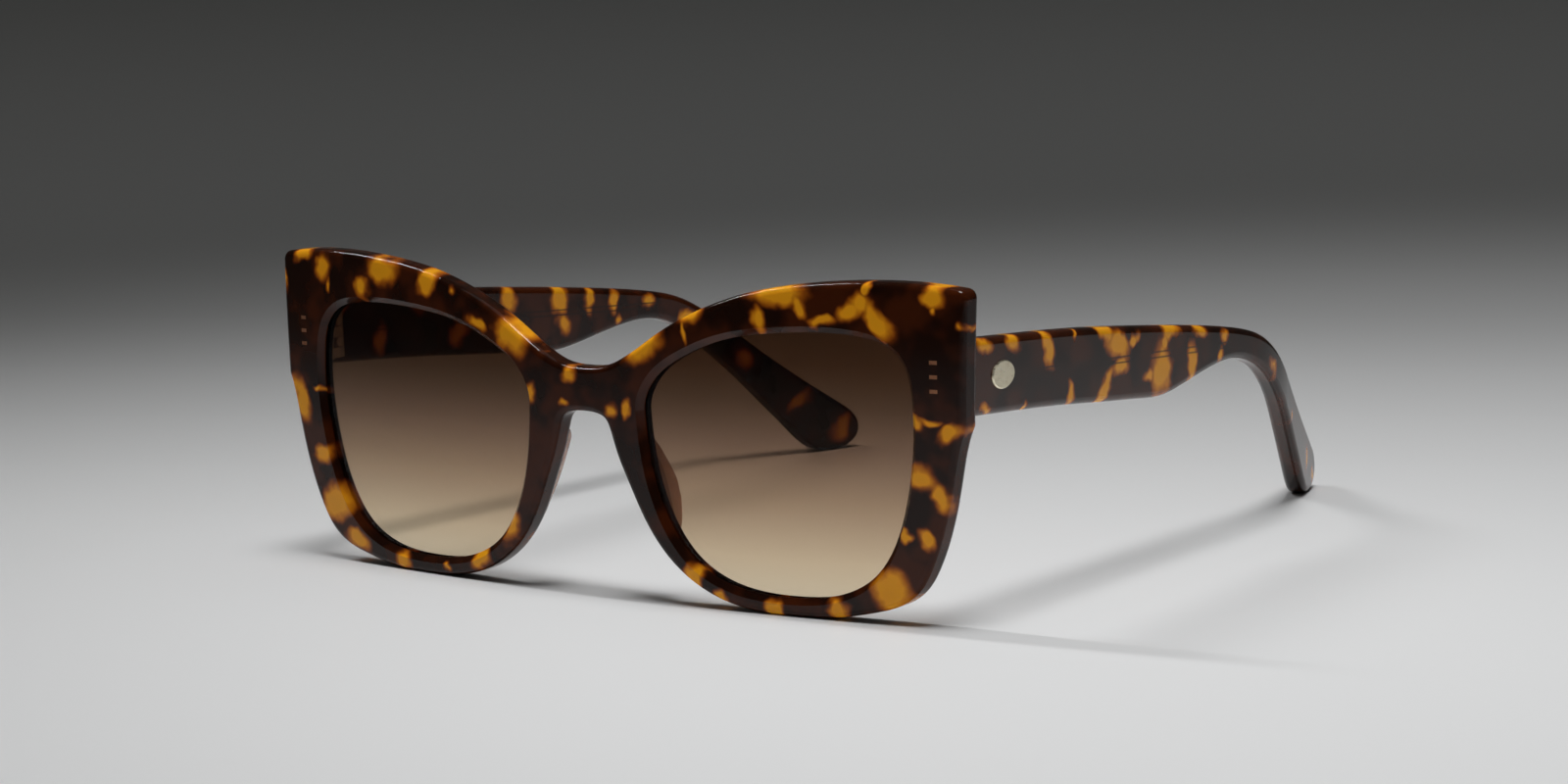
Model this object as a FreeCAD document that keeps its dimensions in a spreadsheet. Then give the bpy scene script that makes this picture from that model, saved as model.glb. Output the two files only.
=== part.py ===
import FreeCAD, Part
import math
import os

# Cat eye sunglasses of cut acetate, standing open on the lower rims and the temple tips.
# Millimetres. +X is the wearer's left, +Y runs back along the temples, +Z is up. The pieces are drawn with
# the front near Y = 0, and each Placement then brings the middle of the opened frame to the origin.

SHEET_ROWS = [
    ("half_depth", 68.84, "Y of the opened frame's middle"),
    ("front_thickness", 4.0, "acetate plate of the front"),
    ("front_lead", 0.45, "how far the front's middle stands ahead of Y = 0"),
    ("front_plan_radius", 440.0, "bow of the front seen from above"),
    ("front_section_radius", 400.0, "bow of the front seen from the side"),
    ("front_section_height", 30.0, "height at which the front bulges most"),
    ("front_sweep", 20.0, "degrees of bow that the plate is cut from"),
    ("corner_rounding", 1.6, "outer corners of the front, seen from the front"),
    ("edge_rounding", 1.0, "polished edges of the front"),
    ("rim_bevel", 1.0, "sloping facet round the front of each lens"),
    ("back_bevel", 1.2, "facet round the back of each lens opening"),
    ("lens_setback", 1.3, "front face to lens face"),
    ("lens_thickness", 1.6, "lens"),
    ("groove_depth", 0.75, "how far the lens sits in the rim"),
    ("groove_play", 0.05, "gap between the lens and its groove"),
    ("pad_back", 7.2, "rearmost point of a nose pad"),
    ("temple_outer", 70.0, "outer face of a temple at its front end"),
    ("temple_thickness", 3.8, "temple"),
    ("temple_rounding", 1.1, "polished edges of a temple"),
    ("temple_gap", 0.4, "gap between the opened temple and the front"),
    ("splay_angle", 3.1, "inward lean of a temple, degrees"),
    ("bend_angle", 18.0, "further inward turn of a temple tip, degrees"),
    ("bend_radius", 45.0, "radius of that turn at the outer face"),
    ("temple_run", 89.9, "straight part of a temple"),
    ("wire_thickness", 0.9, "core wire, across the temple"),
    ("wire_height", 1.3, "core wire, up the temple"),
    ("axis_across", 64.3, "hinge axis from the middle plane"),
    ("axis_back", 10.25, "Y of the hinge axis"),
    ("axis_middle", 38.4, "height of the hinge's middle"),
    ("barrel_radius", 1.6, "hinge barrel"),
    ("barrel_pitch", 1.8, "height of one barrel and its gap"),
    ("barrel_gap", 0.08, "gap between two barrels"),
    ("leaf_thickness", 1.0, "plate of a hinge half"),
    ("leaf_height", 9.4, "plate of a hinge half"),
    ("front_leaf_length", 6.0, "plate in the front"),
    ("temple_leaf_length", 9.0, "plate in the temple"),
    ("front_leaf_reach", 1.6, "plate in the front, from the hinge axis towards the nose"),
    ("temple_leaf_reach", 0.6, "plate in the temple, from the hinge axis towards the front"),
    ("leaf_proud", 0.1, "how far the temple's plate stands out of it"),
    ("barrel_standoff", 1.9, "plate in the front to the hinge axis"),
    ("web_root", 0.2, "how far a barrel's web runs into its plate"),
    ("screw_radius", 0.7, "hinge screw"),
    ("screw_play", 0.05, "running gap round the hinge screw"),
    ("screw_head_radius", 1.15, "hinge screw's head"),
    ("screw_head_height", 0.55, "hinge screw's head"),
    ("screw_slot", 0.3, "slot in the hinge screw's head"),
    ("rivet_length", 1.3, "rivet bar across the front"),
    ("rivet_height", 0.6, "rivet bar up the front"),
    ("rivet_start", 2.0, "front of the rivet bars before they are cut flush"),
    ("plaque_length", 6.4, "plaque on a temple"),
    ("plaque_height", 4.4, "plaque on a temple"),
    ("plaque_thickness", 0.7, "plaque on a temple"),
    ("plaque_proud", 0.3, "how far the plaque stands out of the temple"),
    ("plaque_bevel", 0.18, "sloping edge of the plaque"),
]

# Heights and places that only shape an outline stay here, as points (across, up) on the front.
TOP_EDGE = [(0, 37.4), (2.8, 37.5), (5.3, 38.0), (7.7, 39.0), (10.6, 40.6), (14.4, 43.0), (19.8, 46.0),
            (26.6, 48.8), (34.2, 51.0), (41.5, 52.2), (49, 52.9), (57, 53.2), (64, 53.0), (71.3, 52.2)]
LOWER_EDGE = [(0, 30.2), (2.6, 30.0), (4.4, 29.2), (5.4, 27.3), (6.5, 23.9), (8.7, 18.9), (11.5, 13.2),
              (14.9, 8.4), (19.7, 4.3), (25.7, 1.5), (32.5, 0.2), (39, 0), (46.2, 0.3), (53.3, 1.6),
              (58.2, 3.1), (61.5, 5.4), (63.8, 8.8), (65.8, 13.4), (67.4, 18.6), (68.6, 24), (69.5, 28),
              (70.7, 31.4)]
RIM_OPENING = [(11.1, 31), (11.9, 23), (14.5, 14.3), (20.0, 6.7), (28.3, 2.8), (38, 1.9), (47.2, 2.9),
               (54.3, 6.4), (58.6, 12.1), (61.3, 20), (62.6, 28.5), (62.5, 36), (61.2, 40.9), (58, 44.1),
               (53, 45.6), (45.5, 46), (36.5, 45.5), (27.5, 44), (19.5, 40.9), (13.6, 36.8)]
PAD_OUTLINE = [(6.5, 25.6), (7.9, 22.2), (9.6, 18.4), (11.4, 14.9), (13.3, 11.6), (14.7, 10.0), (15.2, 10.8),
               (14.7, 13.8), (13.9, 17.4), (12.7, 21.4), (10.9, 25.0), (8.6, 27.2)]
# The nose pad's sections: distance ahead of its rearmost point, size against the outline, shift outwards.
PAD_SECTIONS = [(5.2, 1.0, 0.0), (2.8, 0.98, 0.1), (0.9, 0.62, 0.5), (0.0, 0.3, 0.9)]
# The temple's side view, as points (back, up): along its top, round the tip and back below.
TEMPLE_SIDE = [(8, 44.6), (22, 43.5), (40, 42), (60, 39.8), (78, 37.5), (92, 35.3), (101, 32.9), (108, 29),
               (115, 23.5), (122.8, 17.3), (130, 12), (134.8, 8.6), (137.6, 5.9), (138, 3), (136, 0.8),
               (132.6, 0), (129.4, 0.4), (126.6, 2.4), (123.4, 5.9), (119.4, 10.3), (113.4, 16.8),
               (107.4, 22.4), (101.5, 26.8), (95.4, 29.4), (89.5, 30.2), (84, 29.8), (78, 28.9), (72, 27.9),
               (66.5, 27.4), (60, 27.9), (50, 28.9), (36, 30.4), (22, 31.6), (8, 32.6)]
WIRE_SIDE = [(8, 38.4), (40, 36.4), (66, 34.2), (90, 32.8), (101, 30), (110, 24.2), (120, 14.8), (130, 6.4)]
RIVET_HEIGHTS = [36.9, 39.1, 41.3]
RIVET_ACROSS = 65.9
PLAQUE_BACK = 17.6
PLAQUE_UP = 38.0

FRONT_BARRELS = [0, 2, 4]
TEMPLE_BARRELS = [1, 3]
BARRELS = len(FRONT_BARRELS) + len(TEMPLE_BARRELS)
BEYOND = 10.0
SPAN = 90.0
SECTION_REACH = 0.098  # radians each way, enough for the front's whole height

doc = FreeCAD.newDocument("CatEyeSunglasses")
sheet = doc.addObject("Spreadsheet::Sheet", "Dimensions")
for row, (alias, value, meaning) in enumerate(SHEET_ROWS, start=1):
    sheet.set(f"A{row}", alias)
    sheet.set(f"B{row}", str(value))
    sheet.set(f"C{row}", meaning)
    sheet.setAlias(f"B{row}", alias)
doc.recompute()
size = {alias: float(sheet.get(alias)) for alias, _, _ in SHEET_ROWS}


def bind(thing, **expressions):
    """Tie properties of an object to cells of the sheet; sums and products of cells are allowed."""
    for name, expression in expressions.items():
        for alias in sorted(size, key=len, reverse=True):
            expression = expression.replace(f"[{alias}]", f"Dimensions.{alias}")
        thing.setExpression(name.replace("__", "."), expression)


# Sketch and curve helpers

def spline(points, closed=False):
    curve = Part.BSplineCurve()
    curve.interpolate(Points=[FreeCAD.Vector(x, y, 0) for x, y in points], PeriodicFlag=closed)
    return curve


def offset_loop(points, distance):
    """The closed spline through the points, moved outwards by a distance; the points run anticlockwise."""
    curve = spline(points, closed=True)
    moved = []
    for x, y in points:
        along = curve.tangent(curve.parameter(FreeCAD.Vector(x, y, 0)))[0]
        moved.append((x + along.y * distance, y - along.x * distance))
    return moved


def mirrored_edge(points):
    """A right half edge, from the middle outwards, continued over the middle plane to the other side."""
    return [(-x, y) for x, y in reversed(points[1:])] + points


def rectangle(low_x, low_y, high_x, high_y):
    corners = [FreeCAD.Vector(x, y, 0) for x, y in
               [(low_x, low_y), (high_x, low_y), (high_x, high_y), (low_x, high_y)]]
    return [Part.LineSegment(start, end) for start, end in zip(corners, corners[1:] + corners[:1])]


def line(start, end):
    return Part.LineSegment(FreeCAD.Vector(*start, 0), FreeCAD.Vector(*end, 0))


def new_sketch(body, plane, name, lift, curves):
    """A sketch on one of the body's own planes, lifted along the plane's normal."""
    drawn = body.newObject("Sketcher::SketchObject", name)
    base = [feature for feature in body.Origin.OriginFeatures if feature.Role == plane][0]
    drawn.AttachmentSupport = [(base, "")]
    drawn.MapMode = "FlatFace"
    drawn.AttachmentOffset = FreeCAD.Placement(FreeCAD.Vector(0, 0, lift), FreeCAD.Rotation())
    for curve in curves:
        drawn.addGeometry(curve, False)
    return drawn


def new_body(name):
    return doc.addObject("PartDesign::Body", name)


def cut_away(body, drawn, depth):
    """Pocket the sketch through the body, and make sure that it really removed something."""
    doc.recompute()
    before = body.Shape.Volume
    pocket = body.newObject("PartDesign::Pocket", drawn.Name + "Pocket")
    pocket.Profile = drawn
    pocket.Length = depth
    doc.recompute()
    if body.Shape.Volume > before - 1:
        raise RuntimeError(pocket.Name + " cuts nothing")
    return pocket


def dress(body, kind, name, amount, wanted):
    """A Fillet or Chamfer on every edge of the body's tip that the test wants."""
    doc.recompute()
    tip = body.Tip
    edges = [f"Edge{i}" for i, edge in enumerate(tip.Shape.Edges, start=1) if wanted(edge)]
    feature = body.newObject("PartDesign::" + kind, name)
    feature.Base = (tip, edges)
    bind(feature, **{"Radius" if kind == "Fillet" else "Size": amount})
    doc.recompute()
    return feature


def runs_back(edge):
    """True for an edge that joins the front face to the back face."""
    ends = [vertex.Point for vertex in edge.Vertexes]
    return len(ends) == 2 and abs(ends[0].y - ends[1].y) > size["front_thickness"] / 2


# The bowed plate that the front and the lenses are cut from

def bowed_plate(body, name, near, far, cut=False):
    """A slice of the bowed front between two depths behind its face, turned about a far upright axis."""
    lead = size["front_lead"]
    middle = FreeCAD.Vector(size["front_section_radius"] - lead, size["front_section_height"], 0)
    up = FreeCAD.Vector(0, 0, 1)
    arcs = []
    for depth in (near, far):
        circle = Part.Circle(middle, up, size["front_section_radius"] - depth)
        arcs.append(Part.ArcOfCircle(circle, math.pi - SECTION_REACH, math.pi + SECTION_REACH))
    ends = [line(arcs[0].StartPoint[:2], arcs[1].StartPoint[:2]),
            line(arcs[0].EndPoint[:2], arcs[1].EndPoint[:2])]
    drawn = new_sketch(body, "YZ_Plane", name + "Section", 0, arcs + ends)
    axis_back = size["front_plan_radius"] - lead
    drawn.addGeometry(line((axis_back, 0), (axis_back, 50)), True)
    turned = body.newObject("PartDesign::" + ("Groove" if cut else "Revolution"), name)
    turned.Profile = drawn
    turned.ReferenceAxis = (drawn, ["Axis0"])
    turned.Midplane = True
    bind(turned, Angle="[front_sweep]")
    doc.recompute()
    return turned


def front_blank():
    """The acetate front before its lens grooves and hinge seats: outline, rounded edges, openings."""
    body = new_body("FrontBlank")
    bowed_plate(body, "FrontPlate", 0, size["front_thickness"])
    top = mirrored_edge(TOP_EDGE)
    lower = mirrored_edge(LOWER_EDGE)
    outline = [spline(top), spline(lower), line(top[0], lower[0]), line(top[-1], lower[-1])]
    around = rectangle(-SPAN, -BEYOND, SPAN, SPAN)
    cut_away(body, new_sketch(body, "XZ_Plane", "FrontOutline", BEYOND, outline + around), SPAN)
    dress(body, "Fillet", "FrontCorners", "[corner_rounding]", runs_back)
    dress(body, "Fillet", "FrontEdges", "[edge_rounding]", lambda edge: not runs_back(edge))
    opening = offset_loop(RIM_OPENING, -size["rim_bevel"])
    loops = [spline(opening, closed=True), spline([(-x, y) for x, y in opening], closed=True)]
    cut_away(body, new_sketch(body, "XZ_Plane", "LensOpenings", BEYOND, loops), SPAN)
    half = size["front_thickness"] / 2
    back_face = size["front_thickness"] - size["front_lead"]
    dress(body, "Chamfer", "FrontBevels", "[rim_bevel]",
          lambda edge: edge.isClosed() and edge.BoundBox.YMin < half)
    dress(body, "Chamfer", "BackBevels", "[back_bevel]",
          lambda edge: edge.isClosed() and edge.BoundBox.YMin > back_face)
    return body


def lens_shape(name, play):
    """A lens, or with some play the groove that it sits in."""
    body = new_body(name)
    near = size["lens_setback"] - play
    bowed_plate(body, name + "Plate", near, near + size["lens_thickness"] + 2 * play)
    grown = offset_loop(RIM_OPENING, size["groove_depth"] + play - size["rim_bevel"])
    around = rectangle(-SPAN, -BEYOND, SPAN, SPAN)
    curves = [spline(grown, closed=True)] + around
    cut_away(body, new_sketch(body, "XZ_Plane", name + "Outline", BEYOND, curves), SPAN)
    return body


def nose_pad():
    """A crescent glued behind the nose side of the rim, narrower and further out at its back."""
    body = new_body("NosePadLeft")
    middle_x = sum(x for x, _ in PAD_OUTLINE) / len(PAD_OUTLINE)
    middle_z = sum(z for _, z in PAD_OUTLINE) / len(PAD_OUTLINE)
    sections = []
    for index, (ahead, scale, shift) in enumerate(PAD_SECTIONS):
        points = [(middle_x + shift + (x - middle_x) * scale, middle_z + (z - middle_z) * scale)
                  for x, z in PAD_OUTLINE]
        curve = spline(points, closed=True)
        sections.append(new_sketch(body, "XZ_Plane", f"PadSection{index}", ahead - size["pad_back"],
                                   [curve]))
    doc.recompute()
    loft = body.newObject("PartDesign::AdditiveLoft", "PadLoft")
    loft.Profile = sections[0]
    loft.Sections = sections[1:]
    doc.recompute()
    bowed_plate(body, "PadSeat", -BEYOND, size["front_thickness"], cut=True)
    return body


# Temples and their core wires

def temple_start():
    """Depth of the opened temple's front end at its outer face."""
    sweep = size["temple_outer"] ** 2 / (2 * size["front_plan_radius"])
    return sweep - size["front_lead"] + size["front_thickness"] + size["temple_gap"]


def temple_plan(inset, thickness):
    """The temple seen from above: straight, then turned inwards, as a strip below the outer face."""
    splay = math.radians(size["splay_angle"])
    turned = splay + math.radians(size["bend_angle"])
    tip_run = SPAN / 2
    mitre = size["temple_outer"] / size["front_plan_radius"] - splay
    start = (size["temple_outer"], temple_start())

    def along(angle):
        return (-math.sin(angle), math.cos(angle))

    def inward(angle):
        return (-math.cos(angle), -math.sin(angle))

    def step(point, direction, distance):
        return (point[0] + direction[0] * distance, point[1] + direction[1] * distance)

    sides = []
    for depth in (inset, inset + thickness):
        foot = step(start, inward(splay), depth)
        foot = step(foot, along(splay), -depth * math.tan(mitre))
        outer = step(step(start, inward(splay), depth), along(splay), size["temple_run"])
        centre = step(outer, inward(splay), size["bend_radius"] - depth)
        middle = step(centre, inward((splay + turned) / 2), depth - size["bend_radius"])
        turn_end = step(centre, inward(turned), depth - size["bend_radius"])
        sides.append([foot, outer, middle, turn_end, step(turn_end, along(turned), tip_run)])
    curves = []
    for foot, outer, middle, turn_end, end in sides:
        bend = [FreeCAD.Vector(*point, 0) for point in (outer, middle, turn_end)]
        curves += [line(foot, outer), Part.Arc(*bend), line(turn_end, end)]
    return curves + [line(sides[0][0], sides[1][0]), line(sides[0][-1], sides[1][-1])]


def temple_shape(name, inset, thickness, side_view):
    """A strip of the temple's plan, cut to a side view."""
    body = new_body(name)
    plan = new_sketch(body, "XY_Plane", name + "Plan", -BEYOND, temple_plan(inset, thickness))
    doc.recompute()
    pad = body.newObject("PartDesign::Pad", name + "Pad")
    pad.Profile = plan
    pad.Length = SPAN
    around = rectangle(-BEYOND, -2 * BEYOND, 2 * SPAN, SPAN + BEYOND)
    cut_away(body, new_sketch(body, "YZ_Plane", name + "Side", SPAN, side_view + around), SPAN)
    return body


def temple_blank():
    """The acetate temple before its wire and hinge seat are cut."""
    side = [spline(TEMPLE_SIDE), line(TEMPLE_SIDE[0], TEMPLE_SIDE[-1])]
    body = temple_shape("TempleBlank", 0, size["temple_thickness"], side)
    front_end = size["axis_back"]
    longer = size["temple_thickness"] * 1.2

    def polished(edge):
        extent = edge.BoundBox
        return extent.YMax > front_end and extent.XLength + extent.YLength > longer

    dress(body, "Fillet", "TempleEdges", "[temple_rounding]", polished)
    return body


def core_wire():
    """The stiffening wire along the middle of the temple, from its front end into the tip."""
    half = size["wire_height"] / 2
    curve = spline(WIRE_SIDE)
    sides = []
    for sign in (1, -1):
        points = []
        for back, up in WIRE_SIDE:
            heading = curve.tangent(curve.parameter(FreeCAD.Vector(back, up, 0)))[0]
            points.append((back - sign * half * heading.y, up + sign * half * heading.x))
        sides.append(points)
    side = [spline(sides[0]), spline(sides[1]), line(sides[0][0], sides[1][0]),
            line(sides[0][-1], sides[1][-1])]
    inset = (size["temple_thickness"] - size["wire_thickness"]) / 2
    return temple_shape("CoreWireLeft", inset, size["wire_thickness"], side)


# Part primitives for the metal pieces, placed about the hinge axis of the left side

def box(name, low, lengths):
    piece = doc.addObject("Part::Box", name)
    bind(piece, Length=lengths[0], Width=lengths[1], Height=lengths[2],
         Placement__Base__x=low[0], Placement__Base__y=low[1], Placement__Base__z=low[2])
    return piece


def cylinder(name, radius, length, low):
    piece = doc.addObject("Part::Cylinder", name)
    bind(piece, Radius=radius, Height=length, Placement__Base__x="[axis_across]",
         Placement__Base__y="[axis_back]", Placement__Base__z=low)
    return piece


def fuse(name, pieces):
    joined = doc.addObject("Part::MultiFuse", name)
    joined.Shapes = pieces
    return joined


def cut(name, base, tool):
    result = doc.addObject("Part::Cut", name)
    result.Base = base
    result.Tool = tool
    return result


HINGE_FOOT = f"[axis_middle] - {BARRELS} / 2 * [barrel_pitch]"


def barrel_low(index):
    return f"{HINGE_FOOT} + {index} * [barrel_pitch] + [barrel_gap] / 2"


def hinge_half(name, indexes, plate_low, plate_lengths, web_low, web_lengths, play):
    """One half of a hinge: a plate, and barrels that reach it through short webs, bored for the screw."""
    pieces = [box(name + "Plate", plate_low, plate_lengths)]
    height = "[barrel_pitch] - [barrel_gap]"
    for index in indexes:
        low = barrel_low(index)
        pieces.append(cylinder(f"{name}Barrel{index}", "[barrel_radius]", height, low))
        pieces.append(box(f"{name}Web{index}", web_low + [low], web_lengths + [height]))
    bore = cylinder(name + "Bore", f"[screw_radius] + {play}", "[leaf_height] * 2",
                    "[axis_middle] - [leaf_height]")
    return cut(name, fuse(name + "Solid", pieces), bore)


LEAF_LOW = "[axis_middle] - [leaf_height] / 2"
SCREW_HEAD_LOW = f"{barrel_low(BARRELS)} - [barrel_gap] - [screw_head_height]"
FRONT_LEAF_BACK = "[axis_back] - [barrel_standoff]"


def front_hinge():
    """Three barrels standing behind a plate that is let into the back of the front."""
    plate_low = ["[axis_across] - [front_leaf_reach]", f"{FRONT_LEAF_BACK} - [leaf_thickness]", LEAF_LOW]
    plate_lengths = ["[front_leaf_length]", "[leaf_thickness]", "[leaf_height]"]
    web_low = ["[axis_across] - [barrel_radius]", f"{FRONT_LEAF_BACK} - [web_root]"]
    web_lengths = ["2 * [barrel_radius]", "[barrel_standoff] + [web_root]"]
    half = hinge_half("FrontHinge", FRONT_BARRELS, plate_low, plate_lengths, web_low, web_lengths,
                      "[screw_play] / 2")
    seat = cylinder("FrontHingeSeat", "[screw_head_radius] + [screw_play]", "2 * [screw_head_height]",
                    SCREW_HEAD_LOW)
    return cut("FrontHingeLeft", half, seat)


def temple_hinge():
    """Two barrels beside a plate that is let into the temple's inner face."""
    inner = "[temple_outer] - [temple_thickness] - [axis_across]"
    plate_low = [f"[axis_across] + {inner} - [leaf_proud]", "[axis_back] - [temple_leaf_reach]", LEAF_LOW]
    plate_lengths = ["[leaf_thickness]", "[temple_leaf_length]", "[leaf_height]"]
    web_low = ["[axis_across]", "[axis_back] - [temple_leaf_reach]"]
    web_lengths = [f"{inner} + [leaf_proud]", "[temple_leaf_reach] + [barrel_radius]"]
    return hinge_half("TempleHingeLeft", TEMPLE_BARRELS, plate_low, plate_lengths, web_low, web_lengths,
                      "[screw_play]")


def hinge_screw():
    """A slotted screw down through the five barrels."""
    shaft = cylinder("ScrewShaft", "[screw_radius]", f"{BARRELS} * [barrel_pitch] - [screw_head_height]",
                     HINGE_FOOT)
    head = cylinder("ScrewHead", "[screw_head_radius]", "[screw_head_height]", SCREW_HEAD_LOW)
    slot_low = ["[axis_across] - 2 * [screw_head_radius]", "[axis_back] - [screw_slot] / 2",
                f"{SCREW_HEAD_LOW} + [screw_head_height] / 2"]
    slot = box("ScrewSlot", slot_low, ["4 * [screw_head_radius]", "[screw_slot]", "[screw_head_height]"])
    return cut("HingeScrewLeft", fuse("ScrewSolid", [shaft, head]), slot)


def hinge_rivets(blank):
    """Three flat rivet bars from the front face back to the hinge plate."""
    bars = []
    for index, up in enumerate(RIVET_HEIGHTS):
        low = [f"{RIVET_ACROSS} - [rivet_length] / 2", "[rivet_start]", f"{up} - [rivet_height] / 2"]
        back = f"{FRONT_LEAF_BACK} - [leaf_thickness] - [rivet_start]"
        bars.append(box(f"RivetBar{index}", low, ["[rivet_length]", back, "[rivet_height]"]))
    group = doc.addObject("Part::Compound", "RivetBars")
    group.Links = bars
    common = doc.addObject("Part::Common", "HingeRivetsWhole")
    common.Base = group
    common.Tool = blank
    return common


def temple_plaque():
    """A plain oval plate let into the temple's outer face."""
    body = new_body("TemplePlaqueLeft")
    oval = Part.Ellipse(FreeCAD.Vector(0, 0, 0), size["plaque_length"] / 2, size["plaque_height"] / 2)
    drawn = new_sketch(body, "YZ_Plane", "PlaqueOval", 0, [oval])
    doc.recompute()
    pad = body.newObject("PartDesign::Pad", "PlaquePad")
    pad.Profile = drawn
    bind(pad, Length="[plaque_thickness]")
    dress(body, "Chamfer", "PlaqueEdge", "[plaque_bevel]",
          lambda edge: edge.BoundBox.XMin > size["plaque_thickness"] / 2)
    return body


# The left side's pieces, their mirror images, and the front that holds both

def set_at(piece, across, back, up, turn):
    piece.Placement = FreeCAD.Placement(FreeCAD.Vector(across, back, up),
                                        FreeCAD.Rotation(FreeCAD.Vector(0, 0, 1), turn))
    return piece


def mirror_image(name, source):
    image = doc.addObject("Part::Mirroring", name)
    image.Source = source
    image.Normal = (1, 0, 0)
    return image


def temple_outer_at(back):
    """Distance of the temple's outer face from the middle plane, at a place along its straight part."""
    return size["temple_outer"] - (back - temple_start()) * math.tan(math.radians(size["splay_angle"]))


blank = front_blank()
groove_left = lens_shape("LensGrooveLeft", size["groove_play"])
rivets = hinge_rivets(blank)
front_leaf = front_hinge()
temple_leaf = temple_hinge()
wire = core_wire()
plaque_foot = temple_outer_at(PLAQUE_BACK) - size["plaque_thickness"] + size["plaque_proud"]
plaque = set_at(temple_plaque(), plaque_foot, PLAQUE_BACK, PLAQUE_UP, size["splay_angle"])
doc.recompute()
temple = cut("TempleLeft", temple_blank(), fuse("TempleSeats", [wire, temple_leaf, plaque]))

left_pieces = {
    "lens": lens_shape("LensLeft", 0),
    "nose_pad": nose_pad(),
    "front_hinge": front_leaf,
    "hinge_rivets": rivets,
    "hinge_screw": hinge_screw(),
    "temple": temple,
    "temple_hinge": temple_leaf,
    "core_wire": wire,
    "temple_plaque": plaque,
}
seats_left = fuse("FrontSeatsLeft", [groove_left, front_leaf, rivets])
seats = fuse("FrontSeats", [seats_left, mirror_image("FrontSeatsRight", seats_left)])
sub_parts = {"frame_front": cut("FrameFront", blank, seats)}
for name, piece in left_pieces.items():
    sub_parts[name + "_left"] = piece
    sub_parts[name + "_right"] = mirror_image(name.title().replace("_", "") + "Right", piece)
doc.recompute()

failed = [item.Name for item in doc.Objects if "Invalid" in item.State or "Error" in item.State]
if failed:
    raise RuntimeError("failed objects: " + ", ".join(failed))

os.makedirs("parts", exist_ok=True)
to_middle = FreeCAD.Placement(FreeCAD.Vector(0, -size["half_depth"], 0), FreeCAD.Rotation())
whole = FreeCAD.BoundBox()
for label, piece in sub_parts.items():
    placed = doc.addObject("Part::Compound", "Placed" + piece.Name)
    placed.Label = label
    placed.Links = [piece]
    placed.Placement = to_middle
    placed.recompute()
    shape = placed.Shape
    if shape.isNull() or not shape.isValid() or not shape.Solids:
        raise RuntimeError(label + " has no valid solid")
    shape.exportStep(f"parts/{label}.step")
    extent = shape.optimalBoundingBox()
    whole.add(extent)
    print(f"{label:22s} solids {len(shape.Solids)} volume {shape.Volume:8.1f} mm3", extent)
print("whole", whole)
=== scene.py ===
import bpy
import math
from mathutils import Matrix, Vector


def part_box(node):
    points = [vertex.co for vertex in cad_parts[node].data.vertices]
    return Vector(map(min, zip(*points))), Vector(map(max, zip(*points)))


# Cat eye sunglasses on a pale studio floor. Metres, in the frame's own axes: +X is the wearer's left,
# +Y runs back along the temples, +Z is up.

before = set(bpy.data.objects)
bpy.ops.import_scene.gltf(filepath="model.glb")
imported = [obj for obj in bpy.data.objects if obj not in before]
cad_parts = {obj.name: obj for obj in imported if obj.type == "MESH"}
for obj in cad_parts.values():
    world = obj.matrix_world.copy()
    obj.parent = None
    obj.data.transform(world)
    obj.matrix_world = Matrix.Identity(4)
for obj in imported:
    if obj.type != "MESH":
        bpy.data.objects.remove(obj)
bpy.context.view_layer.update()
MM = 0.001
ACETATE_IOR = 1.49
EVEN_GRAIN = (1, 1, 1)

# Amber patches in the dark acetate, in millimetres: across and up the front, or back from the hinges and
# up the temple, then the two half widths, the lean in degrees, and how much the patch is faded.
FRONT_LEFT_PATCHES = [
    (12.8, 41.6, 3.3, 2.1, 32, 0), (21.8, 47.2, 2.3, 1.6, 20, 0), (21.3, 44.3, 0.6, 1.5, 0, 0.3),
    (38.6, 50.9, 4.8, 1.5, 0, 0), (35.0, 46.9, 1.2, 1.9, 0, 0.1), (42.8, 48.9, 1.1, 1.9, 35, 0.1),
    (46.8, 46.8, 2.1, 0.9, 0, 0.1), (51.2, 48.6, 2.2, 1.6, 30, 0.1), (53.2, 50.2, 1.7, 1.5, 0, 0),
    (56.4, 47.4, 3.4, 1.4, -45, 0), (54.6, 52.3, 0.6, 1.1, 0, 0.1), (66.0, 51.5, 2.0, 1.4, 0, 0),
    (66.3, 49.6, 0.7, 1.0, 0, 0.3), (70.2, 46.8, 1.2, 0.9, 0, 0.62), (62.6, 31.5, 1.1, 1.0, 0, 0),
    (68.6, 30.6, 2.0, 1.1, 35, 0), (65.3, 32.1, 2.2, 0.5, 0, 0.2), (63.2, 23.7, 2.0, 1.8, 0, 0),
    (66.0, 21.0, 1.2, 2.4, 15, 0), (60.0, 14.2, 1.1, 0.7, 0, 0.1), (63.6, 13.6, 1.3, 1.3, 0, 0),
    (57.3, 5.8, 3.0, 3.2, 0, 0), (46.9, 1.9, 1.7, 1.6, 0, 0), (35.6, 0.9, 1.4, 1.5, 0, 0),
    (25.9, 2.1, 1.2, 1.1, 0, 0.2), (20.7, 4.5, 1.5, 1.8, 0, 0), (6.5, 31.2, 1.5, 1.6, 0, 0.35),
    (9.6, 31.0, 0.8, 1.4, 0, 0.15),
]
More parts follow.
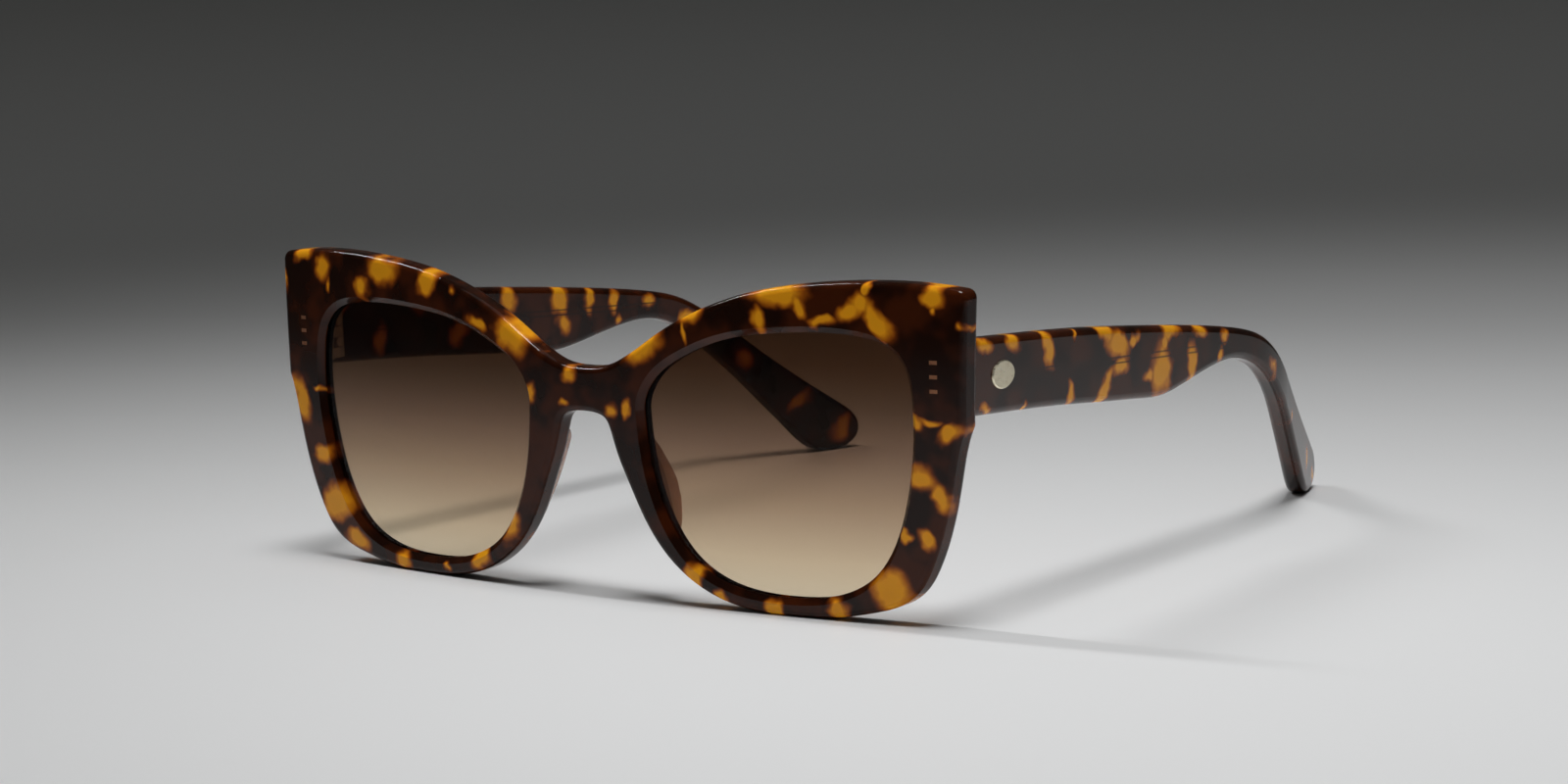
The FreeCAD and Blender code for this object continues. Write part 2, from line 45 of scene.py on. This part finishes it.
FRONT_RIGHT_PATCHES = [
    (-66.0, 52.3, 2.0, 1.1, 25, 0), (-60.6, 50.3, 1.9, 2.1, 0, 0), (-58.8, 47.3, 0.6, 1.4, 0, 0.4),
    (-70.8, 47.8, 0.9, 2.3, 0, 0.3), (-50.2, 47.3, 2.0, 1.5, 0, 0.2), (-45.3, 50.8, 3.1, 2.1, 10, 0),
    (-34.2, 49.4, 2.5, 1.6, 35, 0), (-28.0, 48.2, 1.1, 1.0, 0, 0.5), (-22.2, 42.9, 1.9, 1.1, -20, 0.15),
    (-14.8, 41.4, 3.3, 2.5, -30, 0), (-9.2, 41.9, 3.1, 1.0, -40, 0.05), (-10.7, 32.6, 0.9, 1.5, 0, 0.2),
    (-2.3, 36.4, 1.7, 1.4, 0, 0.35), (-3.3, 31.2, 1.2, 1.0, 0, 0.4), (-67.4, 27.2, 1.8, 3.2, 15, 0.05),
    (-62.3, 29.3, 1.3, 0.7, 0, 0.3), (-63.0, 18.0, 2.3, 1.4, 15, 0.1), (-60.0, 9.8, 3.4, 2.7, 25, 0),
    (-55.0, 3.6, 2.6, 1.7, -10, 0.05), (-43.5, 1.5, 1.5, 1.5, 0, 0.2), (-33.0, 1.5, 0.9, 1.2, 0, 0.4),
    (-24.6, 3.6, 2.0, 1.7, 15, 0), (-16.8, 9.8, 1.6, 2.4, -40, 0.1),
]
TEMPLE_LEFT_PATCHES = [
    (-56.0, 43.4, 2.7, 1.0, -10, 0.2), (-47.6, 42.5, 1.7, 1.9, 0, 0.05), (-37.6, 40.5, 1.2, 2.9, 8, 0),
    (-30.2, 41.0, 0.7, 1.6, 0, 0.45), (-56.3, 33.3, 2.3, 1.0, 0, 0.4), (-44.8, 32.3, 1.0, 1.0, 0, 0.35),
    (-31.2, 31.8, 1.3, 2.1, 0, 0.1), (-20.0, 40.3, 3.0, 1.2, -35, 0), (-16.0, 37.6, 2.8, 1.9, -25, 0),
    (-11.2, 38.4, 1.9, 1.1, 30, 0.2), (-15.6, 34.2, 2.3, 1.2, 20, 0), (-20.8, 31.6, 3.5, 1.1, 42, 0),
    (-2.6, 32.0, 2.7, 4.4, 0, 0), (-6.4, 31.4, 1.7, 0.9, 0, 0.2), (0.6, 37.8, 2.7, 1.4, -15, 0),
    (-1.4, 36.4, 1.6, 1.5, 0, 0), (7.2, 31.2, 1.3, 3.0, 0, 0.05), (10.2, 36.5, 2.1, 1.3, -5, 0.05),
    (18.4, 34.6, 1.6, 1.5, 0, 0.25), (17.2, 31.4, 1.1, 1.3, 0, 0.25), (36.0, 27.0, 1.6, 3.0, 40, 0.62),
    (48.0, 16.5, 2.4, 1.6, 40, 0.62), (61.0, 6.5, 3.0, 1.8, 60, 0.5), (66.5, 3.0, 1.4, 2.6, 0, 0.5),
]
TEMPLE_RIGHT_PATCHES = [
    (-55.0, 42.0, 2.4, 1.2, 20, 0.2), (-46.0, 35.0, 1.5, 2.6, 0, 0.1), (-36.5, 41.0, 1.6, 2.2, 0, 0.05),
    (-27.0, 34.0, 2.2, 1.8, 30, 0.1), (-14.1, 38.4, 1.8, 2.2, 0, 0), (-14.4, 32.0, 1.2, 1.6, 0, 0.3),
    (-1.4, 37.0, 1.9, 2.4, 0, 0), (-0.3, 32.2, 1.9, 2.2, 20, 0.2), (6.5, 35.8, 1.1, 1.9, 0, 0.05),
    (12.7, 34.9, 1.2, 1.7, 0, 0.05), (21.9, 33.6, 1.6, 1.5, 0, 0.1), (14.0, 31.4, 1.0, 1.3, 0, 0.3),
    (32.5, 29.0, 1.8, 1.4, 0, 0.2), (45.0, 19.8, 1.8, 2.6, 40, 0.3), (56.0, 10.4, 2.8, 1.5, 40, 0.25),
    (65.0, 4.0, 2.6, 1.6, 60, 0.15),
]


# Node material helpers

class Graph:
    """A node material written as short calls; each call returns the socket that it makes."""

    def __init__(self, name):
        self.material = bpy.data.materials.new(name)
        self.material.use_nodes = True
        self.tree = self.material.node_tree
        self.shader = self.tree.nodes["Principled BSDF"]
        self.output = self.tree.nodes["Material Output"]

    def node(self, kind, **settings):
        made = self.tree.nodes.new(kind)
        for name, value in settings.items():
            setattr(made, name, value)
        return made

    def put(self, socket, value):
        """Link a socket, or set a plain value."""
        if isinstance(value, bpy.types.NodeSocket):
            self.tree.links.new(value, socket)
        else:
            socket.default_value = value

    def set(self, **values):
        """Inputs of the main shader, with spaces written as underscores."""
        for name, value in values.items():
            self.put(self.shader.inputs[name.replace("_", " ")], value)

    def coordinates(self):
        """Object coordinates, which stay with the piece as it moves."""
        return self.node("ShaderNodeTexCoord").outputs["Object"]

    def place(self, scale=(1, 1, 1), turn=(0, 0, 0), shift=(0, 0, 0), source=None, kind="POINT"):
        mapping = self.node("ShaderNodeMapping", vector_type=kind)
        self.put(mapping.inputs["Vector"], source or self.coordinates())
        self.put(mapping.inputs["Scale"], scale)
        self.put(mapping.inputs["Rotation"], turn)
        self.put(mapping.inputs["Location"], shift)
        return mapping.outputs["Vector"]

    def noise(self, where, per_metre, detail=2.0, rough=0.5, output="Fac"):
        made = self.node("ShaderNodeTexNoise")
        self.put(made.inputs["Vector"], where)
        self.put(made.inputs["Scale"], per_metre)
        self.put(made.inputs["Detail"], detail)
        self.put(made.inputs["Roughness"], rough)
        return made.outputs[output]

    def math(self, operation, first, second=0.0, third=0.0):
        made = self.node("ShaderNodeMath", operation=operation)
        for socket, value in zip(made.inputs, (first, second, third)):
            self.put(socket, value)
        return made.outputs[0]

    def vector(self, operation, first, second=(0, 0, 0), third=(0, 0, 0), output="Vector"):
        made = self.node("ShaderNodeVectorMath", operation=operation)
        for socket, value in zip(made.inputs, (first, second, third)):
            self.put(socket, value)
        return made.outputs[output]

    def spread(self, value, low, high, to_low=0.0, to_high=1.0, kind="SMOOTHSTEP"):
        """Map the range low to high onto to_low to to_high."""
        made = self.node("ShaderNodeMapRange", interpolation_type=kind)
        for name, amount in zip(("Value", "From Min", "From Max", "To Min", "To Max"),
                                (value, low, high, to_low, to_high)):
            self.put(made.inputs[name], amount)
        return made.outputs["Result"]

    def ramp(self, value, stops):
        """A colour ramp; each stop is its place and its colour."""
        made = self.node("ShaderNodeValToRGB")
        elements = made.color_ramp.elements
        while len(elements) < len(stops):
            elements.new(0.5)
        for element, (place, colour) in zip(elements, stops):
            element.position = place
            element.color = (*colour, 1)
        self.put(made.inputs["Fac"], value)
        return made.outputs["Color"]

    def mix(self, share, first, second, blend="MIX"):
        made = self.node("ShaderNodeMix", data_type="RGBA", blend_type=blend)
        self.put(made.inputs["Factor"], share)
        for name, value in (("A", first), ("B", second)):
            socket = [s for s in made.inputs if s.name == name and s.type == "RGBA"][0]
            self.put(socket, value if isinstance(value, bpy.types.NodeSocket) else (*value, 1))
        return [s for s in made.outputs if s.type == "RGBA"][0]

    def split(self, value):
        made = self.node("ShaderNodeSeparateXYZ")
        self.put(made.inputs[0], value)
        return made.outputs

    def bump(self, height, distance, strength):
        """Fine relief on the main shader; the distance is in metres."""
        made = self.node("ShaderNodeBump")
        self.put(made.inputs["Height"], height)
        self.put(made.inputs["Distance"], distance)
        self.put(made.inputs["Strength"], strength)
        self.put(self.shader.inputs["Normal"], made.outputs["Normal"])


def patch_distance(graph, patches, along, where):
    """How far a point is from the nearest patch: 0 at a patch's middle and 1 at its outline."""
    merge = 0.25  # how softly patches that touch flow together
    nearest = None
    for across, up, half_across, half_up, lean, fade in patches:
        turned = math.radians(lean)
        if along == "x":
            shift = (across * MM, 0, up * MM)
            turn = (0, -turned, 0)
            scale = (half_across * MM, 1, half_up * MM)
        else:
            shift = (0, across * MM, up * MM)
            turn = (turned, 0, 0)
            scale = (1, half_across * MM, half_up * MM)
        local = graph.place(scale=scale, turn=turn, shift=shift, source=where, kind="TEXTURE")
        reach = graph.vector("LENGTH", local, output="Value")
        if fade:
            reach = graph.math("ADD", reach, fade)
        nearest = reach if nearest is None else graph.math("SMOOTH_MIN", nearest, reach, merge)
    return nearest


def core_wire_lines(graph, here, colour):
    """The core wire's two edges, seen as thin dark lines through a temple."""
    slope, height_at_middle = -0.0685, 0.0342
    half_height = 0.00045
    line_core, line_edge, line_strength = 0.00008, 0.00022, 0.72
    fade_start, fade_end = 0.022, 0.028
    line_colour = (0.02, 0.008, 0.004)
    parts = graph.split(here)
    middle = graph.math("MULTIPLY_ADD", parts["Y"], slope, height_at_middle)
    off = graph.math("ABSOLUTE", graph.math("SUBTRACT", parts["Z"], middle))
    from_edge = graph.math("ABSOLUTE", graph.math("SUBTRACT", off, half_height))
    line = graph.spread(from_edge, line_core, line_edge, line_strength, 0.0)
    ends = graph.spread(parts["Y"], fade_start, fade_end, 1.0, 0.0)
    return graph.mix(graph.math("MULTIPLY", line, ends), colour, line_colour)


def tortoiseshell(name, patches, along, gloss, wire=False):
    """Polished acetate: near black brown, with soft amber patches that run through its thickness."""
    wander_reach = 0.0042  # how far the patches' outlines stray from plain ovals
    patch_reach = 1.66  # distance at which a patch has faded out
    smoke_share = 0.34  # how much the patches' edges are broken up
    halfway = 0.5  # middle value of a noise
    graph = Graph(name)
    here = graph.coordinates()
    colours = graph.noise(here, 210, detail=2, rough=0.55, output="Color")
    wander = graph.vector("SUBTRACT", colours, (halfway,) * 3)
    warped = graph.vector("MULTIPLY_ADD", wander, (wander_reach,) * 3, here)
    level = graph.math("SUBTRACT", patch_reach, patch_distance(graph, patches, along, warped))
    smoke = graph.math("SUBTRACT", graph.noise(here, 420, detail=3, rough=0.6), halfway)
    level = graph.math("MULTIPLY_ADD", smoke, smoke_share, level)
    amber = graph.ramp(level, [
        (0.00, (0.0120, 0.0028, 0.0008)),
        (0.16, (0.032, 0.0064, 0.0012)),
        (0.36, (0.130, 0.026, 0.0025)),
        (0.56, (0.350, 0.088, 0.0050)),
        (0.80, (0.660, 0.225, 0.0080)),
        (1.00, (0.880, 0.370, 0.0110)),
    ])
    clouds = graph.spread(graph.noise(here, 150), 0.38, 0.66)
    colour = graph.mix(clouds, amber, (0.052, 0.0100, 0.0018), blend="LIGHTEN")
    if wire:
        colour = core_wire_lines(graph, here, colour)
    scuffs = graph.noise(here, 1400, detail=3, rough=0.7)
    graph.set(Base_Color=colour, Roughness=graph.spread(scuffs, 0.45, 0.8, 0.07, 0.15), IOR=ACETATE_IOR,
              Specular_IOR_Level=gloss, Subsurface_Weight=0.12, Subsurface_Scale=0.0015,
              Subsurface_Radius=(1.0, 0.4, 0.08))
    graph.bump(graph.noise(here, 260, detail=3, rough=0.6), 0.00006, 0.18)
    return graph.material


def lens_material(name, low, high):
    """Tinted lens, dark at the top and clearing downwards, under a mirror-smooth face."""
    face_on_share, edge_share, edge_power = 0.008, 0.96, 5.0  # mirrored light, face on and edge on
    graph = Graph(name)
    tree = graph.tree
    level = graph.spread(graph.split(graph.coordinates())["Z"], low, high, kind="LINEAR")
    tint = graph.ramp(level, [
        (0.00, (0.87, 0.80, 0.68)),
        (0.15, (0.84, 0.745, 0.615)),
        (0.37, (0.67, 0.555, 0.445)),
        (0.55, (0.51, 0.40, 0.325)),
        (0.73, (0.36, 0.265, 0.20)),
        (0.86, (0.31, 0.205, 0.14)),
    ])
    clear = graph.node("ShaderNodeBsdfTransparent")
    graph.put(clear.inputs["Color"], tint)
    gloss = graph.node("ShaderNodeBsdfGlossy")
    graph.put(gloss.inputs["Color"], (1, 1, 1, 1))
    graph.put(gloss.inputs["Roughness"], 0.02)
    facing = graph.node("ShaderNodeLayerWeight")
    graph.put(facing.inputs["Blend"], 0.5)
    edge_on = graph.math("POWER", facing.outputs["Facing"], edge_power)
    share = graph.math("MULTIPLY_ADD", edge_on, edge_share, face_on_share)
    blend = graph.node("ShaderNodeMixShader")
    tree.links.new(share, blend.inputs[0])
    tree.links.new(clear.outputs[0], blend.inputs[1])
    tree.links.new(gloss.outputs[0], blend.inputs[2])
    tree.links.new(blend.outputs[0], graph.output.inputs["Surface"])
    tree.nodes.remove(graph.shader)
    return graph.material


def metal(name, colour, worn, rough, scale):
    """Metal with a brushed grain, a slightly tarnished cast in places and uneven gloss."""
    smoothest, roughest = 0.75, 1.3  # times the roughness asked for
    graph = Graph(name)
    grain = graph.noise(graph.place(scale=scale), 2600, detail=3, rough=0.6)
    stain = graph.spread(graph.noise(graph.coordinates(), 700, detail=3), 0.45, 0.75)
    graph.set(Base_Color=graph.mix(stain, colour, worn), Metallic=1.0,
              Roughness=graph.spread(grain, 0.3, 0.7, rough * smoothest, rough * roughest))
    graph.bump(grain, 0.00002, 0.35)
    return graph.material


def clear_brown(name):
    """The nose pads' paler, clearer acetate."""
    graph = Graph(name)
    here = graph.coordinates()
    colour = graph.ramp(graph.noise(here, 190), [
        (0.30, (0.46, 0.235, 0.160)),
        (0.55, (0.60, 0.345, 0.245)),
        (0.75, (0.70, 0.43, 0.31)),
    ])
    graph.set(Base_Color=colour, Roughness=graph.spread(graph.noise(here, 900), 0.4, 0.7, 0.12, 0.22),
              IOR=ACETATE_IOR, Alpha=0.72, Subsurface_Weight=0.6, Subsurface_Scale=0.003,
              Subsurface_Radius=(1.0, 0.5, 0.3))
    graph.bump(graph.noise(here, 300), 0.00008, 0.2)
    return graph.material


# The looks of the frame's nodes

lens_low, lens_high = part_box("lens_left")
steel = metal("satin_steel", (0.62, 0.60, 0.57), (0.42, 0.39, 0.35), 0.3, (1, 1, 7))
bright_steel = metal("bright_steel", (0.74, 0.73, 0.71), (0.50, 0.48, 0.45), 0.2, EVEN_GRAIN)
looks = {
    "frame_front": tortoiseshell("front_acetate", FRONT_LEFT_PATCHES + FRONT_RIGHT_PATCHES, "x", 0.22),
    "temple_left": tortoiseshell("temple_left_acetate", TEMPLE_LEFT_PATCHES, "y", 0.46, wire=True),
    "temple_right": tortoiseshell("temple_right_acetate", TEMPLE_RIGHT_PATCHES, "y", 0.28, wire=True),
    "lens": lens_material("gradient_tint", lens_low.z, lens_high.z),
    "nose_pad": clear_brown("pad_acetate"),
    "front_hinge": steel,
    "temple_hinge": steel,
    "core_wire": steel,
    "hinge_screw": bright_steel,
    "hinge_rivets": metal("rivet_copper", (0.42, 0.19, 0.10), (0.24, 0.10, 0.055), 0.35, EVEN_GRAIN),
    "temple_plaque": metal("pale_gold", (0.94, 0.86, 0.66), (0.82, 0.72, 0.52), 0.34, (1, 0.15, 1)),
}
for name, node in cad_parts.items():
    kind = name if name in looks else name.removesuffix("_left").removesuffix("_right")
    node.data.materials.clear()
    node.data.materials.append(looks[kind])


# Studio: pale floor, soft lights, camera

def studio_floor():
    """A pale round floor that curves up all round, far from the object."""
    sides, flat, radius, arc_steps, top = 96, 3.0, 1.5, 12, 2.6
    profile = []
    for step in range(arc_steps + 1):
        angle = step / arc_steps * math.pi / 2
        profile.append((flat + radius * math.sin(angle), radius - radius * math.cos(angle)))
    profile.append((flat + radius, top))
    turns = [side / sides * 2 * math.pi for side in range(sides)]
    points = [(out * math.cos(turn), out * math.sin(turn), height)
              for out, height in profile for turn in turns]
    faces = [tuple(range(sides))]
    for row in range(len(profile) - 1):
        for side in range(sides):
            after = (side + 1) % sides
            low, high = row * sides, (row + 1) * sides
            faces.append((low + side, low + after, high + after, high + side))
    mesh = bpy.data.meshes.new("floor")
    mesh.from_pydata(points, [], faces)
    mesh.polygons.foreach_set("use_smooth", [False] + [True] * (len(mesh.polygons) - 1))
    floor = bpy.data.objects.new("floor", mesh)
    bpy.context.scene.collection.objects.link(floor)
    graph = Graph("floor_paint")
    graph.set(Base_Color=(0.72, 0.725, 0.73, 1), Roughness=0.5, Specular_IOR_Level=0.25)
    mesh.materials.append(graph.material)


def aim(lamp, place, target):
    """Put a lamp at a place, shining at the target."""
    bpy.context.scene.collection.objects.link(lamp)
    lamp.location = place
    lamp.rotation_euler = (Vector(target) - Vector(place)).to_track_quat("-Z", "Y").to_euler()


def area_light(name, place, target, width, height, power, spread=180):
    data = bpy.data.lights.new(name, "AREA")
    data.shape = "RECTANGLE"
    data.size = width
    data.size_y = height
    data.energy = power
    data.spread = math.radians(spread)
    aim(bpy.data.objects.new(name, data), place, target)


def spot_light(name, place, target, cone, blend, radius, power):
    data = bpy.data.lights.new(name, "SPOT")
    data.spot_size = math.radians(cone)
    data.spot_blend = blend
    data.shadow_soft_size = radius
    data.energy = power
    aim(bpy.data.objects.new(name, data), place, target)


def camera(target, azimuth, elevation, roll, distance, lens):
    """A camera that looks at the target; azimuth 0 looks along +Y."""
    around, above, tilt = (math.radians(value) for value in (azimuth, elevation, roll))
    level = math.cos(above)
    back = Vector((math.sin(around) * level, -math.cos(around) * level, math.sin(above)))
    right = Vector((math.cos(around), math.sin(around), 0))
    up = back.cross(right)
    rolled = right * math.cos(tilt) + up * math.sin(tilt)
    data = bpy.data.cameras.new("camera")
    data.lens = lens
    data.sensor_width = 36
    data.clip_start = 0.01
    made = bpy.data.objects.new("camera", data)
    bpy.context.scene.collection.objects.link(made)
    turned = Matrix((rolled, back.cross(rolled), back)).transposed().to_4x4()
    made.matrix_world = Matrix.Translation(Vector(target) + back * distance) @ turned
    bpy.context.scene.camera = made


bpy.context.scene.view_settings.view_transform = "Standard"
studio_floor()
camera(target=(0.0224, -0.0453, 0.0314), azimuth=38.12, elevation=8.61, roll=-2.14,
       distance=0.672, lens=95.9)
spot_light("pool", place=(0.26, -0.16, 1.22), target=(0.135, -0.08, 0),
           cone=32, blend=0.85, radius=0.36, power=90)
area_light("left_strip", place=(-0.56, -0.08, 0.69), target=(0, -0.05, 0.04),
           width=0.02, height=0.35, power=0.14, spread=40)
area_light("sky", place=(0, 0.4, 1.6), target=(0, 0.4, 0), width=1.2, height=1.2, power=1.5)
world = bpy.data.worlds.new("studio")
bpy.context.scene.world = world
world.use_nodes = True
world.node_tree.nodes["Background"].inputs["Color"].default_value = (0.05, 0.05, 0.047, 1)
